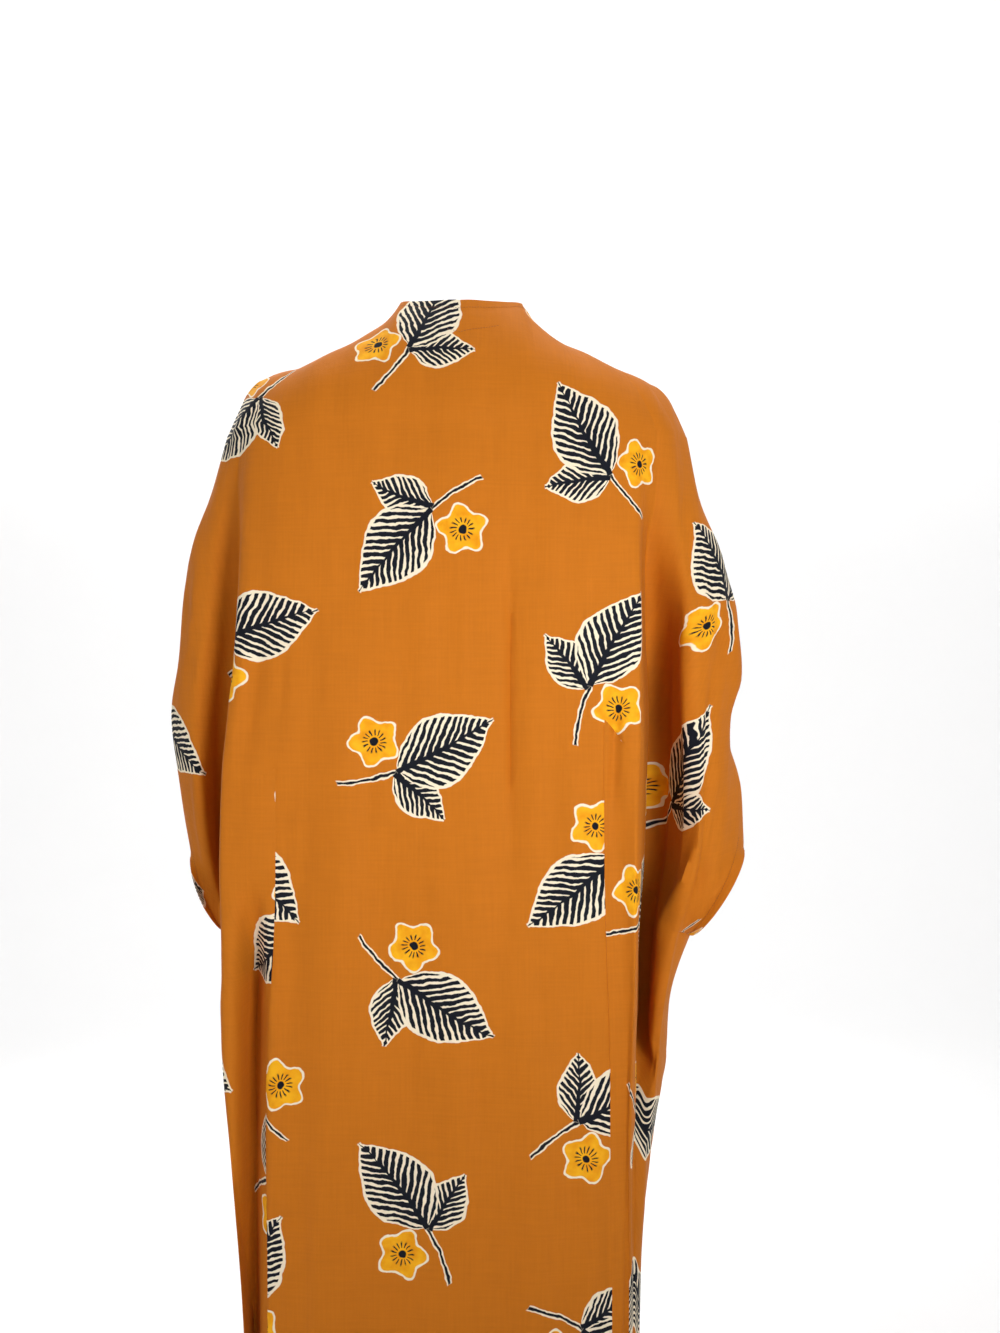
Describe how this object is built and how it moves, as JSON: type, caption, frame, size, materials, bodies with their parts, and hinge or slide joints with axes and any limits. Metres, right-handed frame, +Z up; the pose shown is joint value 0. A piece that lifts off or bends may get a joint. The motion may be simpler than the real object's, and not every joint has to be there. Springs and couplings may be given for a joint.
{
  "type": "kimono coat",
  "caption": "Long open-fronted kimono coat in thin printed cloth, with wide sleeves cut in one with the body, in the hollow form it has when worn.",
  "frame": {"origin": "middle of the neck, at the height where the neckline meets the two shoulder seams, which is where the wearer's shoulders hold the coat", "axes": "+Z up, -Y towards the wearer's front, +X towards the wearer's left"},
  "size_m": [0.6289, 0.2578, 1.2775],
  "materials": {
    "printed_cloth": "thin woven viscose in burnt orange, printed with dark, cream and golden leaves, soft low sheen"
  },
  "bodies": {
    "root": {"back": "printed_cloth", "front_left": "printed_cloth", "front_right": "printed_cloth"}
  },
  "joints": []
}
